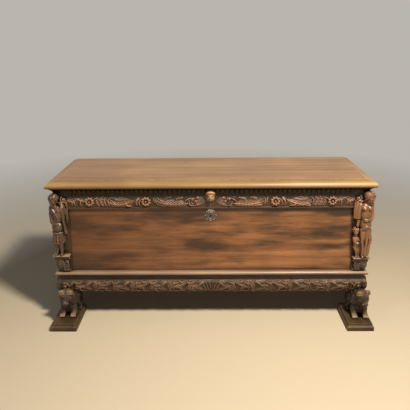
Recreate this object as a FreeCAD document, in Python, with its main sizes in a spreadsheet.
import FreeCAD, Part
import os
from types import SimpleNamespace
import Sketcher

# Carved walnut cassone on lion feet, in millimetres.
# X runs along the front, +Y to the back and +Z up. The origin is on the floor, under the middle of the
# whole chest: halfway across, and halfway from the plinths' fronts to the hinge barrels' backs.

# Driving sizes
SIZES = {
    "lid_wide": 1620,
    "lid_deep": 505,
    "lid_thick": 36,
    "lid_edge_wide": 45,
    "lid_edge_round": 9,
    "lid_thumb_drop": 4,
    "lid_fillet": 6,
    "lid_overhang": 50,
    "lid_side_overhang": 38,
    "lid_gap": 0.5,
    "batten_wide": 60,
    "batten_thick": 20,
    "batten_end_gap": 70,
    "batten_front_gap": 80,
    "batten_rear_gap": 56,
    "plinth_high": 37,
    "plinth_wide": 130,
    "plinth_deep": 212,
    "plinth_foot_high": 20,
    "plinth_ovolo_high": 6,
    "plinth_step": 7,
    "plinth_out_front": 70,
    "plinth_out_side": 29,
    "rear_plinth_deep": 130,
    "rear_block_top": 96,
    "rear_block_foot": 76,
    "lion_high": 113,
    "lion_tall": 155,
    "lion_wide": 100,
    "lion_long": 160,
    "left_lion_setback": 54,
    "right_lion_setback": 38,
    "lion_shift": 11,
    "lower_frieze_high": 71,
    "lower_frieze_thick": 60,
    "lower_frieze_out": 17,
    "lower_frieze_tuck": 8,
    "lower_frieze_round": 46,
    "lower_frieze_lip": 12,
    "base_mould_high": 44,
    "base_mould_thick": 50,
    "base_cove_high": 23,
    "base_cove_out": 10,
    "base_cove_round": 24,
    "base_bead_radius": 10,
    "panel_high": 330,
    "panel_thick": 22,
    "panel_recess": 8,
    "upper_frieze_high": 68,
    "upper_frieze_out": 7,
    "upper_frieze_ground": 3,
    "upper_frieze_bead": 12,
    "rail_thick": 28,
    "cornice_high": 47,
    "cornice_out": 26,
    "cornice_foot": 5,
    "cornice_fillet": 6,
    "cornice_round": 42,
    "post_wide": 61,
    "post_deep": 50,
    "rear_post_deep": 40,
    "post_block_wide": 34,
    "post_block_high": 114,
    "post_block_out": 6,
    "post_block_inset": 4,
    "post_block_top_gap": 8,
    "back_recess": 4,
    "back_thick": 20,
    "back_rail_high": 110,
    "floor_thick": 18,
    "floor_board_gap": 1,
    "bearer_wide": 45,
    "bearer_high": 38,
    "bearer_place": 300,
    "left_console_high": 87,
    "right_console_high": 70,
    "console_top_out": 27,
    "console_side_out": 18,
    "console_foot_out": 9,
    "console_side_back": 46,
    "shelf_thick": 9,
    "shelf_lip": 4,
    "left_figure_high": 325,
    "right_figure_high": 344,
    "figure_inset": 12,
    "mask_high": 59,
    "mask_wide": 52,
    "mask_deep": 34,
    "mask_drop": 6,
    "scutcheon_radius": 24,
    "scutcheon_thick": 2.5,
    "scutcheon_lobe_radius": 6.5,
    "scutcheon_boss_radius": 13,
    "scutcheon_boss_thick": 3,
    "scutcheon_crest_wide": 34,
    "scutcheon_crest_high": 13,
    "scutcheon_drop": 37.5,
    "keyhole_radius": 4.5,
    "keyhole_slot_wide": 4.2,
    "keyhole_slot_drop": 13,
    "nail_head_radius": 4,
    "nail_shank_radius": 1.3,
    "nail_shank_long": 15,
    "lock_wide": 120,
    "lock_high": 122,
    "lock_deep": 34,
    "lock_wall": 3,
    "lock_drop": 76,
    "lock_rib_near": 12,
    "lock_rib_far": 30,
    "hasp_tongue_thick": 4,
    "hasp_tongue_deep": 16,
    "hasp_tongue_setback": 40,
    "hasp_tongue_dip": 22,
    "hasp_window_high": 13,
    "hasp_window_deep": 9,
    "hasp_window_foot": 5,
    "hasp_plate_wide": 64,
    "hasp_plate_deep": 36,
    "hasp_plate_thick": 3,
    "hasp_slot_front_room": 6,
    "hasp_slot_rear_room": 2,
    "hasp_slot_side_room": 2,
    "bolt_long": 48,
    "bolt_thick": 6,
    "bolt_high": 9,
    "bolt_tail_wide": 8,
    "bolt_tail_drop": 44,
    "bolt_tip_gap": 6,
    "bolt_room": 0.4,
    "hinge_place": 500,
    "strap_wide": 38,
    "strap_tip_wide": 16,
    "strap_long": 290,
    "strap_thick": 4,
    "strap_waist": 12,
    "strap_notch_room": 1,
    "leaf_thick": 3,
    "leaf_high": 96,
    "barrel_radius": 6.5,
    "barrel_gap": 0.4,
    "barrel_middle": 14,
    "hinge_axis_out": 7,
    "pin_radius": 3,
    "pin_room": 0.05,
    "pin_head_radius": 5,
    "pin_head_thick": 2.5,
    "overrun": 5,
}

# Carved forms as ellipsoids. A row is a centre and three radii, each a share of the carving's own size.
# Figures: out to the side, out to the front and up, as shares of the figure's own height, from a place
# on its shelf just inside the post's corner.
BUST_SHARES = [
    (0.057, 0.070, 0.905, 0.055, 0.058, 0.075),
    (0.052, 0.058, 0.940, 0.064, 0.064, 0.052),
    (0.045, 0.052, 0.835, 0.036, 0.040, 0.055),
    (0.025, 0.035, 0.730, 0.098, 0.075, 0.105),
    (0.012, 0.030, 0.600, 0.076, 0.068, 0.110),
    (0.105, 0.020, 0.720, 0.034, 0.042, 0.115),
    (-0.062, 0.060, 0.735, 0.036, 0.042, 0.105),
]
MAN_SHARES = [
    (0.008, 0.030, 0.465, 0.094, 0.083, 0.120),
    (0.010, 0.032, 0.385, 0.100, 0.088, 0.055),
    (0.046, 0.034, 0.215, 0.038, 0.042, 0.170),
    (-0.036, 0.034, 0.215, 0.038, 0.042, 0.170),
    (0.050, 0.058, 0.028, 0.032, 0.048, 0.036),
    (-0.040, 0.058, 0.028, 0.032, 0.048, 0.036),
]
WOMAN_SHARES = [
    (0.012, 0.032, 0.490, 0.084, 0.080, 0.100),
    (0.014, 0.034, 0.280, 0.080, 0.074, 0.270),
    (0.040, 0.062, 0.028, 0.034, 0.046, 0.034),
    (-0.020, 0.060, 0.028, 0.034, 0.044, 0.034),
    (-0.104, 0.042, 0.428, 0.038, 0.040, 0.044),
    (-0.094, 0.036, 0.300, 0.042, 0.042, 0.090),
    (-0.112, 0.034, 0.115, 0.021, 0.028, 0.122),
    (-0.074, 0.034, 0.115, 0.021, 0.028, 0.122),
    (-0.064, 0.054, 0.320, 0.042, 0.020, 0.022),
]
# Lion: across, back and up, as shares of lion_wide, lion_long and lion_tall, from the front of its paws
# on the plinth.
LION_SHARES = [
    (0.00, 0.130, 0.800, 0.37, 0.190, 0.230),
    (0.00, 0.220, 0.620, 0.50, 0.220, 0.340),
    (0.00, 0.580, 0.440, 0.40, 0.340, 0.340),
    (0.00, 0.220, 0.380, 0.35, 0.150, 0.270),
    (0.00, 0.020, 0.580, 0.20, 0.110, 0.130),
    (-0.30, 0.780, 0.340, 0.20, 0.190, 0.370),
    (0.30, 0.780, 0.340, 0.20, 0.190, 0.370),
    (-0.28, 0.150, 0.230, 0.130, 0.100, 0.260),
    (0.28, 0.150, 0.230, 0.130, 0.100, 0.260),
    (-0.28, 0.150, 0.075, 0.135, 0.150, 0.105),
    (0.28, 0.150, 0.075, 0.135, 0.150, 0.105),
    (-0.38, 0.700, 0.080, 0.130, 0.140, 0.110),
    (0.38, 0.700, 0.080, 0.130, 0.140, 0.110),
    (-0.29, 0.160, 0.930, 0.095, 0.060, 0.075),
    (0.29, 0.160, 0.930, 0.095, 0.060, 0.075),
]
# Mask: across, out and up, as shares of mask_wide, mask_deep and mask_high, from its foot on the frieze.
MASK_SHARES = [
    (0.00, 0.42, 0.44, 0.36, 0.50, 0.44),
    (0.00, 0.45, 0.80, 0.50, 0.55, 0.22),
    (-0.38, 0.25, 0.52, 0.13, 0.35, 0.26),
    (0.38, 0.25, 0.52, 0.13, 0.35, 0.26),
    (0.00, 0.92, 0.42, 0.07, 0.18, 0.11),
]
SHEET_NAME = "Sizes"
RIGHT_ANGLE = 90
HALF_TURN = 180
MIDDLE_SHARE = 0.028
LOBES = 10
FLOOR_BOARDS = 3
SEVERAL_SOLIDS = {"floor_boards", "floor_bearers", "leaf_nails", "strap_nails"}


class Length:
    """A length together with the expression of the sheet's sizes that gives it."""

    def __init__(self, number, text):
        self.number = number
        self.text = text

    def __float__(self):
        return float(self.number)

    def __lt__(self, other):
        return self.number < value(other)

    def __neg__(self):
        return Length(-self.number, f"-({self.text})")

    def __add__(self, other):
        return Length(self.number + value(other), f"({self.text} + {words(other)})")

    def __radd__(self, other):
        return self + other

    def __sub__(self, other):
        return Length(self.number - value(other), f"({self.text} - {words(other)})")

    def __rsub__(self, other):
        return -self + other

    def __mul__(self, share):
        return Length(self.number * value(share), f"({self.text} * {words(share)})")

    def __rmul__(self, share):
        return self * share

    def __truediv__(self, share):
        return Length(self.number / value(share), f"({self.text} / {words(share)})")


def value(length):
    """What a length or a plain number comes to now."""
    return float(length)


def words(length):
    """A length as an expression of the sheet's sizes."""
    return length.text if isinstance(length, Length) else f"({length})"


size = SimpleNamespace(**{name: Length(number, f"{SHEET_NAME}.{name}") for name, number in SIZES.items()})

# Sums of sizes that many pieces share
FACE_X = size.lid_wide / 2 - size.lid_side_overhang
LID_FRONT = (size.plinth_out_front - size.lid_deep - size.hinge_axis_out - size.barrel_radius) / 2
FACE_Y = LID_FRONT + size.lid_overhang
REAR_Y = LID_FRONT + size.lid_deep
PLINTH_FRONT = LID_FRONT - size.plinth_out_front
LION_TOP = size.plinth_high + size.lion_high
BASE_Z = LION_TOP + size.lower_frieze_high
SILL_Z = BASE_Z + size.base_mould_high
FRIEZE_Z = SILL_Z + size.panel_high
CORNICE_Z = FRIEZE_Z + size.upper_frieze_high
RIM_Z = CORNICE_Z + size.cornice_high
LID_Z = RIM_Z + size.lid_gap
POST_X = FACE_X - size.post_wide
PANEL_IN_Y = FACE_Y + size.panel_recess + size.panel_thick
AXIS_Y = REAR_Y + size.hinge_axis_out
AXIS_Z = LID_Z - size.strap_thick / 2
KEYHOLE_Z = FRIEZE_Z - size.scutcheon_drop
LOCK_TOP = RIM_Z - size.lock_drop
BOLT_Z = LOCK_TOP - size.hasp_tongue_dip + size.hasp_window_foot + size.hasp_window_high / 2
BOLT_Y = FACE_Y + size.hasp_tongue_setback + size.hasp_tongue_deep / 2

doc = FreeCAD.newDocument("cassone")
sheet = doc.addObject("Spreadsheet::Sheet", SHEET_NAME)
for row, (alias, number) in enumerate(SIZES.items(), start=1):
    sheet.set(f"A{row}", alias)
    sheet.set(f"B{row}", str(number))
    sheet.setAlias(f"B{row}", alias)
doc.recompute()

nodes = {}


def bind(thing, **properties):
    """Binds each property of an object to its expression."""
    for name, text in properties.items():
        thing.setExpression(name, words(text))


def place(thing, x, y, z, turn=0):
    """Places an object, turned about the vertical."""
    thing.Placement = FreeCAD.Placement(
        FreeCAD.Vector(value(x), value(y), value(z)),
        FreeCAD.Rotation(FreeCAD.Vector(0, 0, 1), turn),
    )
    for axis, text in (("x", x), ("y", y), ("z", z)):
        thing.setExpression(f"Placement.Base.{axis}", words(text))


def node(thing, name):
    """Marks an object as one of the chest's pieces."""
    thing.Label = name
    nodes[name] = thing
    return thing


def block(name, xs, ys, zs):
    """A box between two places along each axis."""
    box = doc.addObject("Part::Box", name)
    bind(
        box,
        Length=xs[1] - xs[0],
        Width=ys[1] - ys[0],
        Height=zs[1] - zs[0],
    )
    place(box, xs[0], ys[0], zs[0])
    return box


def rod(name, radius, long, x, y, z, axis):
    """A cylinder that starts at a place and runs along an axis."""
    cylinder = doc.addObject("Part::Cylinder", name)
    bind(cylinder, Radius=radius, Height=long)
    place(cylinder, x, y, z)
    cylinder.Placement.Rotation = FreeCAD.Rotation(FreeCAD.Vector(0, 0, 1), FreeCAD.Vector(*axis))
    return cylinder


def fuse(name, things):
    """One solid of several that meet."""
    joined = doc.addObject("Part::MultiFuse", name)
    joined.Shapes = things
    return joined


def cut(name, base, tools):
    """A solid less its tools."""
    less = doc.addObject("Part::Cut", name)
    less.Base = base
    less.Tool = tools[0] if len(tools) == 1 else fuse(f"{name}_tools", tools)
    return less


def group(name, things):
    """Separate solids that share a node."""
    held = doc.addObject("Part::Compound", name)
    held.Links = things
    return held


def plane(body, role):
    """One of a body's own origin planes."""
    return [feature for feature in body.Origin.OriginFeatures if feature.Role == role][0]


def outline(sketch, points):
    """Closes an outline through points. A point is x and y, and then, where an arc leaves it, the arc's
    radius and the side of the run that its centre is on: 1 for the left and -1 for the right."""
    places = [FreeCAD.Vector(value(point[0]), value(point[1]), 0) for point in points]
    ends = []
    for index, point in enumerate(points):
        start, end = places[index], places[(index + 1) % len(points)]
        if len(point) == 2:
            ends.append((sketch.addGeometry(Part.LineSegment(start, end)), 1, 2))
            continue
        radius, side = value(point[2]), point[3]
        chord = end - start
        across = FreeCAD.Vector(-chord.y, chord.x, 0).normalize() * side
        centre = (start + end) / 2 + across * (radius**2 - chord.Length**2 / 4) ** 0.5
        circle = Part.Circle(centre, FreeCAD.Vector(0, 0, 1), radius)
        first, last = (start, end) if side > 0 else (end, start)
        arc = Part.ArcOfCircle(circle, circle.parameter(first), circle.parameter(last))
        near, far = (1, 2) if side > 0 else (2, 1)
        ends.append((sketch.addGeometry(arc), near, far))
    for index, point in enumerate(points):
        geometry, near, _ = ends[index]
        before, _, far = ends[index - 1]
        sketch.addConstraint(Sketcher.Constraint("Coincident", before, far, geometry, near))
        for kind, text, axis in (("DistanceX", point[0], -2), ("DistanceY", point[1], -1)):
            if value(text) == 0:
                sketch.addConstraint(Sketcher.Constraint("PointOnObject", geometry, near, axis))
                continue
            number = sketch.addConstraint(Sketcher.Constraint(kind, -1, 1, geometry, near, value(text)))
            sketch.setExpression(f"Constraints[{number}]", words(text))
        if len(point) > 2:
            number = sketch.addConstraint(Sketcher.Constraint("Radius", geometry, value(point[2])))
            sketch.setExpression(f"Constraints[{number}]", words(point[2]))


def sketch_on(body, role, name, points):
    """A sketch of an outline on one of a body's origin planes."""
    sketch = body.newObject("Sketcher::SketchObject", name)
    sketch.AttachmentSupport = [(plane(body, role), "")]
    sketch.MapMode = "FlatFace"
    outline(sketch, points)
    return sketch


def mitre(body, name, points):
    """Cuts a body's end to the mitre, right through its height."""
    pocket = body.newObject("PartDesign::Pocket", name)
    pocket.Profile = sketch_on(body, "XY_Plane", f"{name}_sketch", points)
    pocket.SideType = "Symmetric"
    pocket.Type = "ThroughAll"


def moulding(name, profile, run, out, inside, corner, turn, mitre_start=False, mitre_end=False):
    """A length of moulding whose profile is y, from the face behind it, and z. Its outer nose is out of the
    face, and its back is inside it. It runs along its own X from a corner, turned about the vertical."""
    body = doc.addObject("PartDesign::Body", name)
    pad = body.newObject("PartDesign::Pad", f"{name}_pad")
    pad.Profile = sketch_on(body, "YZ_Plane", f"{name}_profile", profile)
    bind(pad, Length=run)
    front, back = -out - size.overrun, inside + size.overrun
    reach = out + inside + size.overrun
    if mitre_start:
        mitre(body, f"{name}_mitre_start", [(-size.overrun, front), (reach, back), (-size.overrun, back)])
    if mitre_end:
        far = run + size.overrun
        mitre(body, f"{name}_mitre_end", [(far, front), (far, back), (run - reach, back)])
    place(body, *corner, turn)
    return node(body, name)


def wrapped(name, profile, out, inside, face_x, face_y, z):
    """A moulding round the front and both ends, mitred at the two front corners."""
    end_run = REAR_Y - face_y + out
    front_run = 2 * (face_x + out)
    left_corner = (-face_x, REAR_Y, z)
    right_corner = (face_x, face_y - out, z)
    front_corner = (-face_x - out, face_y, z)
    moulding(f"{name}_front", profile, front_run, out, inside, front_corner, 0, True, True)
    moulding(f"{name}_left", profile, end_run, out, inside, left_corner, -RIGHT_ANGLE, False, True)
    moulding(f"{name}_right", profile, end_run, out, inside, right_corner, RIGHT_ANGLE, True, False)


def carving(name, rows, spans, origin, signs):
    """Ellipsoids that swell from one another, as a carver blocks out a form. The seams of those out to a
    side face away from the rest, and every second one of the others is turned round, so that no two
    neighbours' seams run together."""
    lumps = []
    for number, row in enumerate(rows):
        across = signs[0] * row[0]
        turn = number % 2 * HALF_TURN if abs(across) < MIDDLE_SHARE else (across < 0) * HALF_TURN
        lump = doc.addObject("Part::Ellipsoid", f"{name}_lump_{number}")
        bind(lump, Radius2=row[3] * spans[0], Radius3=row[4] * spans[1], Radius1=row[5] * spans[2])
        places = [origin[axis] + signs[axis] * row[axis] * spans[axis] for axis in range(3)]
        place(lump, *places, turn)
        lumps.append(lump)
    whole = lumps[0]
    for number, lump in enumerate(lumps[1:], start=1):
        joined = doc.addObject("Part::Fuse", f"{name}_swelling_{number}")
        joined.Base = whole
        joined.Tool = lump
        whole = joined
    return whole


def pare(name, base, tools):
    """A carving less each of its tools in turn."""
    for number, tool in enumerate(tools):
        less = doc.addObject("Part::Cut", f"{name}_pared_{number}")
        less.Base = base
        less.Tool = tool
        base = less
    return base


# Lower frame: the swelling lower frieze, and the cove and bead above it

def lower_frame():
    out, thick, high = size.lower_frieze_out, size.lower_frieze_thick, size.lower_frieze_high
    frieze = [
        (thick, 0),
        (thick, high),
        (-out / 2, high),
        (-out, high - size.lower_frieze_lip),
        (-out, high - 2 * size.lower_frieze_lip, size.lower_frieze_round, 1),
        (size.lower_frieze_tuck, 0),
    ]
    wrapped("lower_frieze", frieze, out, thick, FACE_X, FACE_Y, LION_TOP)
    bead_out = size.base_cove_out + size.base_bead_radius
    bead_foot = size.base_mould_high - 2 * size.base_bead_radius
    mould = [
        (size.base_mould_thick, 0),
        (size.base_mould_thick, size.base_mould_high),
        (-size.base_cove_out, size.base_mould_high, size.base_bead_radius, 1),
        (-bead_out, size.base_mould_high - size.base_bead_radius, size.base_bead_radius, 1),
        (-size.base_cove_out, bead_foot),
        (-size.base_cove_out, size.base_cove_high, size.base_cove_round, -1),
        (0, 0),
    ]
    wrapped("base_moulding", mould, bead_out, size.base_mould_thick, FACE_X, FACE_Y, BASE_Z)
    for name, thick, low, high in (
        ("lower_rail_rear", size.lower_frieze_thick, LION_TOP, BASE_Z),
        ("sill_rail_rear", size.base_mould_thick, BASE_Z, SILL_Z),
    ):
        half = FACE_X - thick
        node(block(name, (-half, half), (REAR_Y - thick, REAR_Y), (low, high)), name)


# Floor: long boards on the lower frame's ledge, and two bearers under them

def floor():
    half = FACE_X - size.base_mould_thick
    front, back = (FACE_Y + size.base_mould_thick), (REAR_Y - size.base_mould_thick)
    pitch = ((back - front + size.floor_board_gap) / FLOOR_BOARDS)
    boards = [
        block(
            f"floor_board_{number}",
            (-half, half),
            (front + number * pitch, front + (number + 1) * pitch - size.floor_board_gap),
            (BASE_Z, BASE_Z + size.floor_thick),
        )
        for number in range(FLOOR_BOARDS)
    ]
    node(group("floor_boards", boards), "floor_boards")
    bearers = [
        block(
            f"floor_bearer_{number}",
            (
                side * size.bearer_place - size.bearer_wide / 2,
                side * size.bearer_place + size.bearer_wide / 2,
            ),
            (FACE_Y + size.lower_frieze_thick, REAR_Y - size.lower_frieze_thick),
            (BASE_Z - size.bearer_high, BASE_Z),
        )
        for number, side in enumerate((-1, 1))
    ]
    node(group("floor_bearers", bearers), "floor_bearers")


# Carcass: posts, panels and the carved upper rails

def carcass():
    upper_rail = [
        (size.rail_thick, 0),
        (size.rail_thick, size.upper_frieze_high + size.cornice_high),
        (0, size.upper_frieze_high + size.cornice_high),
        (0, size.upper_frieze_high),
        (-size.upper_frieze_ground, size.upper_frieze_high),
        (-size.upper_frieze_ground, size.upper_frieze_bead),
        (-size.upper_frieze_out, size.upper_frieze_bead - size.upper_frieze_ground),
        (-size.upper_frieze_out, size.upper_frieze_ground),
        (-size.upper_frieze_ground, 0),
    ]
    end_run = (REAR_Y - size.rear_post_deep) - (FACE_Y + size.post_deep)
    moulding("upper_frieze_front", upper_rail, 2 * POST_X, 0, 0, (-POST_X, FACE_Y, FRIEZE_Z), 0)
    moulding(
        "upper_frieze_left",
        upper_rail,
        end_run,
        0,
        0,
        (-FACE_X, REAR_Y - size.rear_post_deep, FRIEZE_Z),
        -RIGHT_ANGLE,
    )
    moulding(
        "upper_frieze_right",
        upper_rail,
        end_run,
        0,
        0,
        (FACE_X, FACE_Y + size.post_deep, FRIEZE_Z),
        RIGHT_ANGLE,
    )
    panel_zs = (SILL_Z, FRIEZE_Z)
    keyhole_tools = keyhole("panel_keyhole", FACE_Y, PANEL_IN_Y + size.overrun)
    front = block(
        "front_board", (-POST_X, POST_X), (FACE_Y + size.panel_recess, PANEL_IN_Y), panel_zs
    )
    node(cut("front_panel", front, keyhole_tools), "front_panel")
    end_ys = (FACE_Y + size.post_deep, REAR_Y - size.rear_post_deep)
    outer, inner = (FACE_X - size.panel_recess), (FACE_X - size.panel_recess - size.panel_thick)
    node(block("left_end_panel", (-outer, -inner), end_ys, panel_zs), "left_end_panel")
    node(block("right_end_panel", (inner, outer), end_ys, panel_zs), "right_end_panel")
    back_rail_z = RIM_Z - size.back_rail_high
    back_ys = (REAR_Y - size.back_recess - size.back_thick, REAR_Y - size.back_recess)
    node(block("back_panel", (-POST_X, POST_X), back_ys, (SILL_Z, back_rail_z)), "back_panel")
    back_rail = block(
        "back_rail_board", (-POST_X, POST_X), (REAR_Y - size.rail_thick, REAR_Y), (back_rail_z, RIM_Z)
    )
    notches = [
        block(
            f"strap_notch_{number}",
            (
                side * size.hinge_place - size.strap_wide / 2 - size.strap_notch_room,
                side * size.hinge_place + size.strap_wide / 2 + size.strap_notch_room,
            ),
            (REAR_Y - size.rail_thick - size.overrun, REAR_Y + size.overrun),
            (LID_Z - size.strap_thick - size.strap_notch_room, RIM_Z + size.overrun),
        )
        for number, side in enumerate((-1, 1))
    ]
    holes = [
        nail_hole(f"rail_hole_{side}_{number}", x, REAR_Y + size.leaf_thick, z, (0, -1, 0))
        for side in (-1, 1)
        for number, (x, z) in enumerate(leaf_nail_places(side * size.hinge_place))
    ]
    node(cut("back_rail", back_rail, notches + holes), "back_rail")
    for side, hand in ((-1, "left"), (1, "right")):
        low, high = sorted((side * POST_X, side * FACE_X), key=value)
        name = f"rear_{hand}_post"
        node(block(name, (low, high), (REAR_Y - size.rear_post_deep, REAR_Y), (SILL_Z, RIM_Z)), name)
        name = f"front_{hand}_post"
        post = block(f"{name}_stile", (low, high), (FACE_Y, FACE_Y + size.post_deep), (SILL_Z, RIM_Z))
        node(fuse(name, [post, raised_block(f"{name}_block", side)]), name)


def raised_block(name, side):
    """The smooth block on a front post's face, behind the figure's shoulder."""
    near = POST_X + size.post_block_inset
    xs = sorted((side * near, side * (near + size.post_block_wide)), key=value)
    top = CORNICE_Z - size.post_block_top_gap
    return block(name, xs, (FACE_Y - size.post_block_out, FACE_Y), (top - size.post_block_high, top))


def cornice():
    profile = [
        (0, 0),
        (0, size.cornice_high),
        (-size.cornice_out, size.cornice_high),
        (-size.cornice_out, size.cornice_high - size.cornice_fillet, size.cornice_round, -1),
        (-size.cornice_foot, size.cornice_fillet),
        (-size.cornice_foot, 0),
    ]
    wrapped("cornice", profile, size.cornice_out, 0, FACE_X, FACE_Y, CORNICE_Z)


# Feet: lions at the front and plain blocks at the back, all on stepped plinths

def plinth(name, side, ys):
    far = FACE_X + size.plinth_out_side
    xs = sorted((side * far, side * (far - size.plinth_wide)), key=value)

    def shrunk(ends, step):
        return (ends[0] + step, ends[1] - step)

    step_z = size.plinth_foot_high + size.plinth_ovolo_high
    foot = block(f"{name}_foot", xs, ys, (0, size.plinth_foot_high))
    slope = doc.addObject("Part::Wedge", f"{name}_slope")
    bind(
        slope,
        Xmin=0,
        Xmax=xs[1] - xs[0],
        Zmin=0,
        Zmax=ys[1] - ys[0],
        Ymin=0,
        Ymax=size.plinth_ovolo_high,
        X2min=size.plinth_step,
        X2max=xs[1] - xs[0] - size.plinth_step,
        Z2min=size.plinth_step,
        Z2max=ys[1] - ys[0] - size.plinth_step,
    )
    place(slope, xs[0], ys[1], size.plinth_foot_high)
    slope.Placement.Rotation = FreeCAD.Rotation(FreeCAD.Vector(1, 0, 0), RIGHT_ANGLE)
    top_xs, top_ys = shrunk(xs, size.plinth_step), shrunk(ys, size.plinth_step)
    top = block(f"{name}_top", top_xs, top_ys, (step_z, size.plinth_high))
    node(fuse(name, [foot, slope, top]), name)


def lion(name, side, setback):
    middle = side * (FACE_X + size.plinth_out_side - size.plinth_wide / 2) + size.lion_shift
    spans = (size.lion_wide, size.lion_long, size.lion_tall)
    origin = (middle, PLINTH_FRONT + setback, size.plinth_high)
    lumps = carving(name, LION_SHARES, spans, origin, (1, 1, 1))
    reach = (-size.lid_wide, size.lid_wide)
    under_ys = (PLINTH_FRONT - size.lion_long, REAR_Y)
    under = block(f"{name}_floor", reach, under_ys, (-size.plinth_high, size.plinth_high))
    above = block(f"{name}_seat", reach, (FACE_Y + size.lower_frieze_tuck, REAR_Y), (LION_TOP, SILL_Z))
    hand = "left" if side < 0 else "right"
    around = [nodes["lower_frieze_front"], nodes[f"lower_frieze_{hand}"]]
    node(pare(name, lumps, [under, above] + around), name)


def feet():
    for side, hand, setback in ((-1, "left", size.left_lion_setback), (1, "right", size.right_lion_setback)):
        plinth(f"front_{hand}_plinth", side, (PLINTH_FRONT, PLINTH_FRONT + size.plinth_deep))
        plinth(f"rear_{hand}_plinth", side, (REAR_Y - size.rear_plinth_deep, REAR_Y))
        lion(f"front_{hand}_lion", side, setback)
        name = f"rear_{hand}_foot"
        middle_x = (side * (FACE_X + size.plinth_out_side - size.plinth_wide / 2))
        middle_y = REAR_Y - size.rear_plinth_deep / 2
        foot = doc.addObject("Part::Wedge", name)
        spread = (size.rear_block_top - size.rear_block_foot) / 2
        bind(
            foot,
            Ymin=0,
            Ymax=size.lion_high,
            Xmin=spread,
            Zmin=spread,
            Xmax=size.rear_block_top - spread,
            Zmax=size.rear_block_top - spread,
            X2min=0,
            Z2min=0,
            X2max=size.rear_block_top,
            Z2max=size.rear_block_top,
        )
        place(foot, middle_x - size.rear_block_top / 2, middle_y + size.rear_block_top / 2, size.plinth_high)
        foot.Placement.Rotation = FreeCAD.Rotation(FreeCAD.Vector(1, 0, 0), RIGHT_ANGLE)
        node(foot, name)


# Corner carvings: a console with a shelf, and a figure that stands on it

def corner_box(name, side, zs):
    """What the post fills at a front corner, as a tool."""
    xs = sorted((side * FACE_X, side * (POST_X - size.post_wide)), key=value)
    return block(name, xs, (FACE_Y, FACE_Y + size.lid_deep), zs)


def console(name, side, high):
    back = FACE_Y + size.console_side_back

    def wedge_ends(side_out, front_out):
        xs = sorted((side * POST_X, side * (FACE_X + side_out)), key=value)
        return xs, (FACE_Y - front_out, back)

    foot_xs, foot_ys = wedge_ends(size.console_foot_out, size.console_foot_out)
    top_xs, top_ys = wedge_ends(size.console_side_out, size.console_top_out)
    bracket = doc.addObject("Part::Wedge", f"{name}_bracket")
    bind(
        bracket,
        Ymin=0,
        Ymax=high,
        Xmin=foot_xs[0] - top_xs[0],
        Xmax=foot_xs[1] - top_xs[0],
        Zmin=back - foot_ys[1],
        Zmax=back - foot_ys[0],
        X2min=0,
        X2max=top_xs[1] - top_xs[0],
        Z2min=0,
        Z2max=back - top_ys[0],
    )
    place(bracket, top_xs[0], back, SILL_Z)
    bracket.Placement.Rotation = FreeCAD.Rotation(FreeCAD.Vector(1, 0, 0), RIGHT_ANGLE)
    shelf_side_out = size.console_side_out + size.shelf_lip
    shelf_front_out = size.console_top_out + size.shelf_lip
    shelf_xs, shelf_ys = wedge_ends(shelf_side_out, shelf_front_out)
    shelf_z = SILL_Z + high
    shelf = block(f"{name}_shelf", shelf_xs, shelf_ys, (shelf_z, shelf_z + size.shelf_thick))
    post = corner_box(f"{name}_post", side, (SILL_Z - size.overrun, FRIEZE_Z))
    node(cut(name, fuse(f"{name}_body", [bracket, shelf]), [post]), name)


def figure(name, side, rows, shelf_z, high):
    origin = (side * (FACE_X - size.figure_inset), FACE_Y, shelf_z)
    lumps = carving(name, BUST_SHARES + rows, (high, high, high), origin, (side, -1, 1))
    post = corner_box(f"{name}_post", side, (SILL_Z, LID_Z))
    under_ys = (FACE_Y - size.lid_deep, REAR_Y)
    under = block(f"{name}_under", (-size.lid_wide, size.lid_wide), under_ys, (SILL_Z, shelf_z))
    hand = "left" if side < 0 else "right"
    around = [nodes["cornice_front"], nodes[f"cornice_{hand}"], raised_block(f"{name}_block", side)]
    node(pare(name, lumps, [post, under] + around), name)


def mask():
    foot = RIM_Z - size.cornice_high / 2 + size.mask_drop - size.mask_high
    spans = (size.mask_wide, size.mask_deep, size.mask_high)
    origin = (0, FACE_Y - size.upper_frieze_ground, foot)
    lumps = carving("mask", MASK_SHARES, spans, origin, (1, -1, 1))
    node(pare("mask", lumps, [nodes["upper_frieze_front"], nodes["cornice_front"]]), "mask_head")


# Lock: a scutcheon outside, a case inside, its sliding bolt, and the hasp under the lid

def keyhole(name, front, back):
    """The keyhole's round and its slot, as tools that run from front to back."""
    long = back - front
    hole = rod(f"{name}_round", size.keyhole_radius, long, 0, front, KEYHOLE_Z, (0, 1, 0))
    slot = block(
        f"{name}_slot",
        (-size.keyhole_slot_wide / 2, size.keyhole_slot_wide / 2),
        (front, back),
        (KEYHOLE_Z - size.keyhole_slot_drop, KEYHOLE_Z),
    )
    return [hole, slot]


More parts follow.
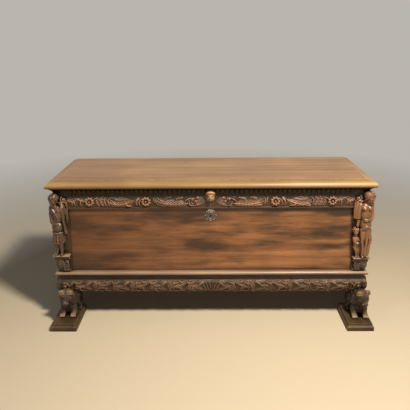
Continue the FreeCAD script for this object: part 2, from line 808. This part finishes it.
def scutcheon():
    name = "scutcheon"
    face = FACE_Y + size.panel_recess
    body = doc.addObject("PartDesign::Body", f"{name}_plate")
    disc_sketch = body.newObject("Sketcher::SketchObject", f"{name}_disc_sketch")
    disc_sketch.AttachmentSupport = [(plane(body, "XY_Plane"), "")]
    disc_sketch.MapMode = "FlatFace"
    circle(disc_sketch, 0, size.scutcheon_radius)
    disc = body.newObject("PartDesign::Pad", f"{name}_disc")
    disc.Profile = disc_sketch
    bind(disc, Length=size.scutcheon_thick)
    lobe_sketch = body.newObject("Sketcher::SketchObject", f"{name}_lobe_sketch")
    lobe_sketch.AttachmentSupport = [(plane(body, "XY_Plane"), "")]
    lobe_sketch.MapMode = "FlatFace"
    circle(lobe_sketch, size.scutcheon_radius, size.scutcheon_lobe_radius)
    lobe = body.newObject("PartDesign::Pad", f"{name}_lobe")
    lobe.Profile = lobe_sketch
    bind(lobe, Length=size.scutcheon_thick)
    doc.recompute()
    lobes = body.newObject("PartDesign::PolarPattern", f"{name}_lobes")
    lobes.Originals = [lobe]
    lobes.Axis = (lobe_sketch, ["N_Axis"])
    lobes.Occurrences = LOBES
    body.Tip = lobes
    place(body, 0, face, KEYHOLE_Z)
    body.Placement.Rotation = FreeCAD.Rotation(FreeCAD.Vector(1, 0, 0), RIGHT_ANGLE)
    boss_radius, boss_thick = size.scutcheon_boss_radius, size.scutcheon_boss_thick
    boss_y = face - size.scutcheon_thick
    boss = rod(f"{name}_boss", boss_radius, boss_thick, 0, boss_y, KEYHOLE_Z, (0, -1, 0))
    crest = block(
        f"{name}_crest",
        (-size.scutcheon_crest_wide / 2, size.scutcheon_crest_wide / 2),
        (face - size.scutcheon_thick, face),
        (KEYHOLE_Z, KEYHOLE_Z + size.scutcheon_radius + size.scutcheon_crest_high),
    )
    tools = keyhole(f"{name}_keyhole", face - size.overrun - size.scutcheon_boss_thick, face + size.overrun)
    node(cut(name, fuse(f"{name}_form", [body, boss, crest]), tools), name)


def circle(sketch, out, radius):
    """A circle in a sketch, with its centre out along X."""
    centre = FreeCAD.Vector(value(out), 0, 0)
    ring = sketch.addGeometry(Part.Circle(centre, FreeCAD.Vector(0, 0, 1), value(radius)))
    sketch.addConstraint(Sketcher.Constraint("PointOnObject", ring, 3, -1))
    if value(out) == 0:
        sketch.addConstraint(Sketcher.Constraint("PointOnObject", ring, 3, -2))
    else:
        number = sketch.addConstraint(Sketcher.Constraint("DistanceX", -1, 1, ring, 3, value(out)))
        sketch.setExpression(f"Constraints[{number}]", words(out))
    number = sketch.addConstraint(Sketcher.Constraint("Radius", ring, value(radius)))
    sketch.setExpression(f"Constraints[{number}]", words(radius))


def nail(name, x, y, z, inward):
    """A nail whose domed head stands on a face, with its shank driven inward."""
    outward = tuple(-step for step in inward)
    head = doc.addObject("Part::Cone", f"{name}_head")
    radius = size.nail_head_radius
    bind(head, Radius1=radius, Radius2=radius / 2, Height=radius / 2)
    place(head, x, y, z)
    head.Placement.Rotation = FreeCAD.Rotation(FreeCAD.Vector(0, 0, 1), FreeCAD.Vector(*outward))
    shank = rod(f"{name}_shank", size.nail_shank_radius, size.nail_shank_long, x, y, z, inward)
    return fuse(name, [head, shank])


def nail_hole(name, x, y, z, inward):
    """The hole that a nail's shank fills, as a tool."""
    return rod(name, size.nail_shank_radius, size.nail_shank_long, x, y, z, inward)


def lock():
    half, wall = size.lock_wide / 2, size.lock_wall
    front, back = PANEL_IN_Y, (PANEL_IN_Y + size.lock_deep)
    low, high = (LOCK_TOP - size.lock_high), LOCK_TOP
    case = block("lock_box", (-half, half), (front, back), (low, high))
    cells = [
        ("left", -half + wall, size.lock_rib_near),
        ("middle", size.lock_rib_near + wall, size.lock_rib_far),
        ("right", size.lock_rib_far + wall, half - wall),
    ]
    cell_ys, cell_zs = (front - size.overrun, back - wall), (low + wall, high - wall)
    tools = [block(f"lock_cell_{name}", (start, end), cell_ys, cell_zs) for name, start, end in cells]
    tongue_front = FACE_Y + size.hasp_tongue_setback
    tongue_back = tongue_front + size.hasp_tongue_deep
    slot_half = size.hasp_tongue_thick / 2 + size.hasp_slot_side_room
    tools.append(
        block(
            "hasp_slot",
            (-slot_half, slot_half),
            (tongue_front - size.hasp_slot_front_room, tongue_back + size.hasp_slot_rear_room),
            (high - wall - size.overrun, high + size.overrun),
        )
    )
    bolt_ys = (BOLT_Y - size.bolt_thick / 2, BOLT_Y + size.bolt_thick / 2)
    bolt_zs = (BOLT_Z - size.bolt_high / 2, BOLT_Z + size.bolt_high / 2)
    tools.append(
        block(
            "bolt_way",
            (size.lock_rib_near - size.overrun, size.lock_rib_far + wall + size.overrun),
            (bolt_ys[0] - size.bolt_room, bolt_ys[1] + size.bolt_room),
            (bolt_zs[0] - size.bolt_room, bolt_zs[1] + size.bolt_room),
        )
    )
    node(cut("lock_case", case, tools), "lock_case")
    tip = size.hasp_tongue_thick / 2 + size.bolt_tip_gap
    bar = block("bolt_bar", (tip, tip + size.bolt_long), bolt_ys, bolt_zs)
    tail_end = tip + size.bolt_long
    tail_xs = (tail_end - size.bolt_tail_wide, tail_end)
    tail_zs = (bolt_zs[0] - size.bolt_tail_drop, bolt_zs[0])
    tail = block("bolt_tail", tail_xs, bolt_ys, tail_zs)
    node(fuse("lock_bolt", [bar, tail]), "lock_bolt")


def hasp():
    tongue_front = FACE_Y + size.hasp_tongue_setback
    tongue_back = tongue_front + size.hasp_tongue_deep
    plate_z = LID_Z - size.hasp_plate_thick
    plate_ys = (
        (tongue_front + tongue_back) / 2 - size.hasp_plate_deep / 2,
        (tongue_front + tongue_back) / 2 + size.hasp_plate_deep / 2,
    )
    plate_half = size.hasp_plate_wide / 2
    plate = block("hasp_plate", (-plate_half, plate_half), plate_ys, (plate_z, LID_Z))
    foot = LOCK_TOP - size.hasp_tongue_dip
    half = size.hasp_tongue_thick / 2
    tongue = block("hasp_tongue", (-half, half), (tongue_front, tongue_back), (foot, plate_z))
    window = block(
        "hasp_window",
        (-half - size.overrun, half + size.overrun),
        (BOLT_Y - size.hasp_window_deep / 2, BOLT_Y + size.hasp_window_deep / 2),
        (foot + size.hasp_window_foot, foot + size.hasp_window_foot + size.hasp_window_high),
    )
    node(cut("lock_hasp", fuse("hasp_form", [plate, tongue]), [window]), "lock_hasp")


# Hinges: a leaf on the back rail, a long strap under the lid, and a pin through both

def knuckle(name, start, end):
    return rod(name, size.barrel_radius, end - start, start, AXIS_Y, AXIS_Z, (1, 0, 0))


def hinge(side, hand):
    middle = side * size.hinge_place
    left, right = (middle - size.strap_wide / 2), (middle + size.strap_wide / 2)
    near, far = (middle - size.barrel_middle / 2), (middle + size.barrel_middle / 2)
    bore_radius, bore_long = (size.pin_radius + size.pin_room), (size.strap_wide + 2 * size.overrun)
    bore_start = left - size.overrun
    bore = rod(f"leaf_bore_{hand}", bore_radius, bore_long, bore_start, AXIS_Y, AXIS_Z, (1, 0, 0))
    plate_ys, plate_zs = (REAR_Y, REAR_Y + size.leaf_thick), (AXIS_Z - size.leaf_high, AXIS_Z)
    plate = block(f"leaf_plate_{hand}", (left, right), plate_ys, plate_zs)
    ears = [knuckle(f"leaf_ear_a_{hand}", left, near), knuckle(f"leaf_ear_b_{hand}", far, right)]
    gap = block(
        f"leaf_gap_{hand}",
        (near - size.barrel_gap, far + size.barrel_gap),
        (REAR_Y - size.overrun, AXIS_Y + size.barrel_radius + size.overrun),
        (AXIS_Z - size.barrel_radius - size.barrel_gap, AXIS_Z + size.barrel_radius + size.overrun),
    )
    leaf_body = fuse(f"leaf_form_{hand}", [plate] + ears)
    name = f"hinge_leaf_{hand}"
    leaf_holes = [
        nail_hole(f"{name}_hole_{number}", x, REAR_Y + size.leaf_thick, z, (0, -1, 0))
        for number, (x, z) in enumerate(leaf_nail_places(middle))
    ]
    node(cut(name, leaf_body, [bore, gap] + leaf_holes), name)
    name = f"hinge_pin_{hand}"
    shank = rod(f"{name}_shank", size.pin_radius, size.strap_wide, left, AXIS_Y, AXIS_Z, (1, 0, 0))
    heads = [
        rod(f"{name}_head_{end}", size.pin_head_radius, size.pin_head_thick, start, AXIS_Y, AXIS_Z, (1, 0, 0))
        for end, start in (("a", left - size.pin_head_thick), ("b", right))
    ]
    node(fuse(name, [shank] + heads), name)
    name = f"hinge_strap_{hand}"
    strap = doc.addObject("PartDesign::Body", f"{name}_blade")
    pad = strap.newObject("PartDesign::Pad", f"{name}_pad")
    tip_half, half = size.strap_tip_wide / 2, (size.strap_wide / 2)
    pad.Profile = sketch_on(
        strap,
        "XY_Plane",
        f"{name}_outline",
        [
            (-size.strap_wide / 2, -size.barrel_gap),
            (-tip_half, -size.strap_long + size.strap_tip_wide + size.strap_waist),
            (-half, -size.strap_long + size.strap_tip_wide),
            (0, -size.strap_long),
            (half, -size.strap_long + size.strap_tip_wide),
            (tip_half, -size.strap_long + size.strap_tip_wide + size.strap_waist),
            (size.strap_wide / 2, -size.barrel_gap),
        ],
    )
    bind(pad, Length=size.strap_thick)
    place(strap, middle, REAR_Y, LID_Z - size.strap_thick)
    eye_start, eye_end = near, far
    tongue_ys, tongue_zs = (REAR_Y - size.overrun, AXIS_Y), (LID_Z - size.strap_thick, LID_Z)
    tongue = block(f"{name}_tongue", (eye_start, eye_end), tongue_ys, tongue_zs)
    eye = knuckle(f"{name}_eye", eye_start, eye_end)
    eye_bore = rod(f"{name}_bore", bore_radius, bore_long, bore_start, AXIS_Y, AXIS_Z, (1, 0, 0))
    strap_holes = [
        nail_hole(f"{name}_hole_{number}", middle, y, LID_Z - size.strap_thick, (0, 0, 1))
        for number, y in enumerate(strap_nail_places())
    ]
    node(cut(name, fuse(f"{name}_form", [strap, tongue, eye]), [eye_bore] + strap_holes), name)


def leaf_nail_places(middle):
    across, foot = size.strap_wide / 4, (AXIS_Z - size.leaf_high)
    return [
        (middle + step * across, foot + share * size.leaf_high)
        for share in (0.15, 0.7)
        for step in (-1, 1)
    ]


def strap_nail_places():
    return [REAR_Y - size.rail_thick - share * size.strap_long for share in (0.08, 0.32, 0.56, 0.84)]


def nails():
    leaf_nails = [
        nail(f"leaf_nail_{hand}_{number}", x, REAR_Y + size.leaf_thick, z, (0, -1, 0))
        for side, hand in ((-1, "left"), (1, "right"))
        for number, (x, z) in enumerate(leaf_nail_places((side * size.hinge_place)))
    ]
    node(group("leaf_nails", leaf_nails), "leaf_nails")
    strap_nails = [
        nail(f"strap_nail_{hand}_{number}", (side * size.hinge_place), y, LID_Z - size.strap_thick, (0, 0, 1))
        for side, hand in ((-1, "left"), (1, "right"))
        for number, y in enumerate(strap_nail_places())
    ]
    node(group("strap_nails", strap_nails), "strap_nails")


# Lid: two long boards in a moulded edge, with cross battens underneath

def lid():
    half = size.lid_wide / 2 - size.lid_edge_wide
    front = LID_FRONT + size.lid_edge_wide
    middle = ((front + REAR_Y) / 2)
    zs = (LID_Z, LID_Z + size.lid_thick)
    nail_z = LID_Z - size.strap_thick
    for name, start, end in (("lid_front_board", front, middle), ("lid_rear_board", middle, REAR_Y)):
        board = block(f"{name}_blank", (-half, half), (start, end), zs)
        holes = [
            nail_hole(f"{name}_hole_{side}_{number}", side * size.hinge_place, y, nail_z, (0, 0, 1))
            for side in (-1, 1)
            for number, y in enumerate(strap_nail_places())
            if start < y < end
        ]
        node(cut(name, board, holes), name)
    edge = [
        (0, 0),
        (0, size.lid_thick),
        (-size.lid_fillet, size.lid_thick),
        (-size.lid_fillet, size.lid_thick - size.lid_fillet / 3),
        (
            -size.lid_edge_wide / 2,
            size.lid_thick - size.lid_thumb_drop,
            size.lid_edge_wide * 2 / 3,
            1,
        ),
        (-size.lid_edge_wide, size.lid_edge_round + size.lid_thumb_drop),
        (-size.lid_edge_wide, size.lid_edge_round, size.lid_edge_round, 1),
        (-size.lid_edge_wide + size.lid_edge_round, 0),
    ]
    wrapped("lid_moulding", edge, size.lid_edge_wide, 0, half, front, LID_Z)
    ys = (LID_FRONT + size.lid_overhang + size.batten_front_gap, REAR_Y - size.batten_rear_gap)
    for side, hand in ((-1, "left"), (1, "right")):
        outer = POST_X - size.batten_end_gap
        xs = sorted((side * outer, side * (outer - size.batten_wide)), key=value)
        name = f"lid_batten_{hand}"
        node(block(name, xs, ys, (LID_Z - size.batten_thick, LID_Z)), name)


def build():
    lower_frame()
    floor()
    carcass()
    cornice()
    feet()
    corners = (
        (-1, "left", MAN_SHARES, size.left_console_high, size.left_figure_high),
        (1, "right", WOMAN_SHARES, size.right_console_high, size.right_figure_high),
    )
    for side, hand, rows, console_high, figure_high in corners:
        console(f"{hand}_console", side, console_high)
        shelf_z = SILL_Z + console_high + size.shelf_thick
        figure(f"{hand}_figure", side, rows, shelf_z, figure_high)
    mask()
    scutcheon()
    lock()
    hasp()
    for side, hand in ((-1, "left"), (1, "right")):
        hinge(side, hand)
    nails()
    lid()


def check():
    """Stops on a failed object, or on a piece that isn't one or more whole solids."""
    for thing in doc.Objects:
        if {"Invalid", "Error"} & set(thing.State):
            raise RuntimeError(f"{thing.Name} failed: {thing.State}")
        if thing.TypeId == "Part::Fuse" and thing.Shape.Volume < thing.Base.Shape.Volume:
            raise RuntimeError(f"{thing.Name} lost some of its base")
        if thing.TypeId == "Part::Cut":
            lost = thing.Base.Shape.Volume - thing.Shape.Volume
            if lost > thing.Tool.Shape.Volume:
                raise RuntimeError(f"{thing.Name} lost more than its tool")
    for name, thing in nodes.items():
        shape = thing.Shape
        if shape.isNull() or not shape.isValid() or not shape.Solids:
            raise RuntimeError(f"{name} is not a valid solid")
        if name not in SEVERAL_SOLIDS and len(shape.Solids) > 1:
            raise RuntimeError(f"{name} is not one solid")


build()
doc.recompute()
check()
os.makedirs("parts", exist_ok=True)
for name, thing in nodes.items():
    thing.Shape.exportStep(f"parts/{name}.step")
    print(name, len(thing.Shape.Solids), round(thing.Shape.Volume))
print(len(nodes), "nodes")
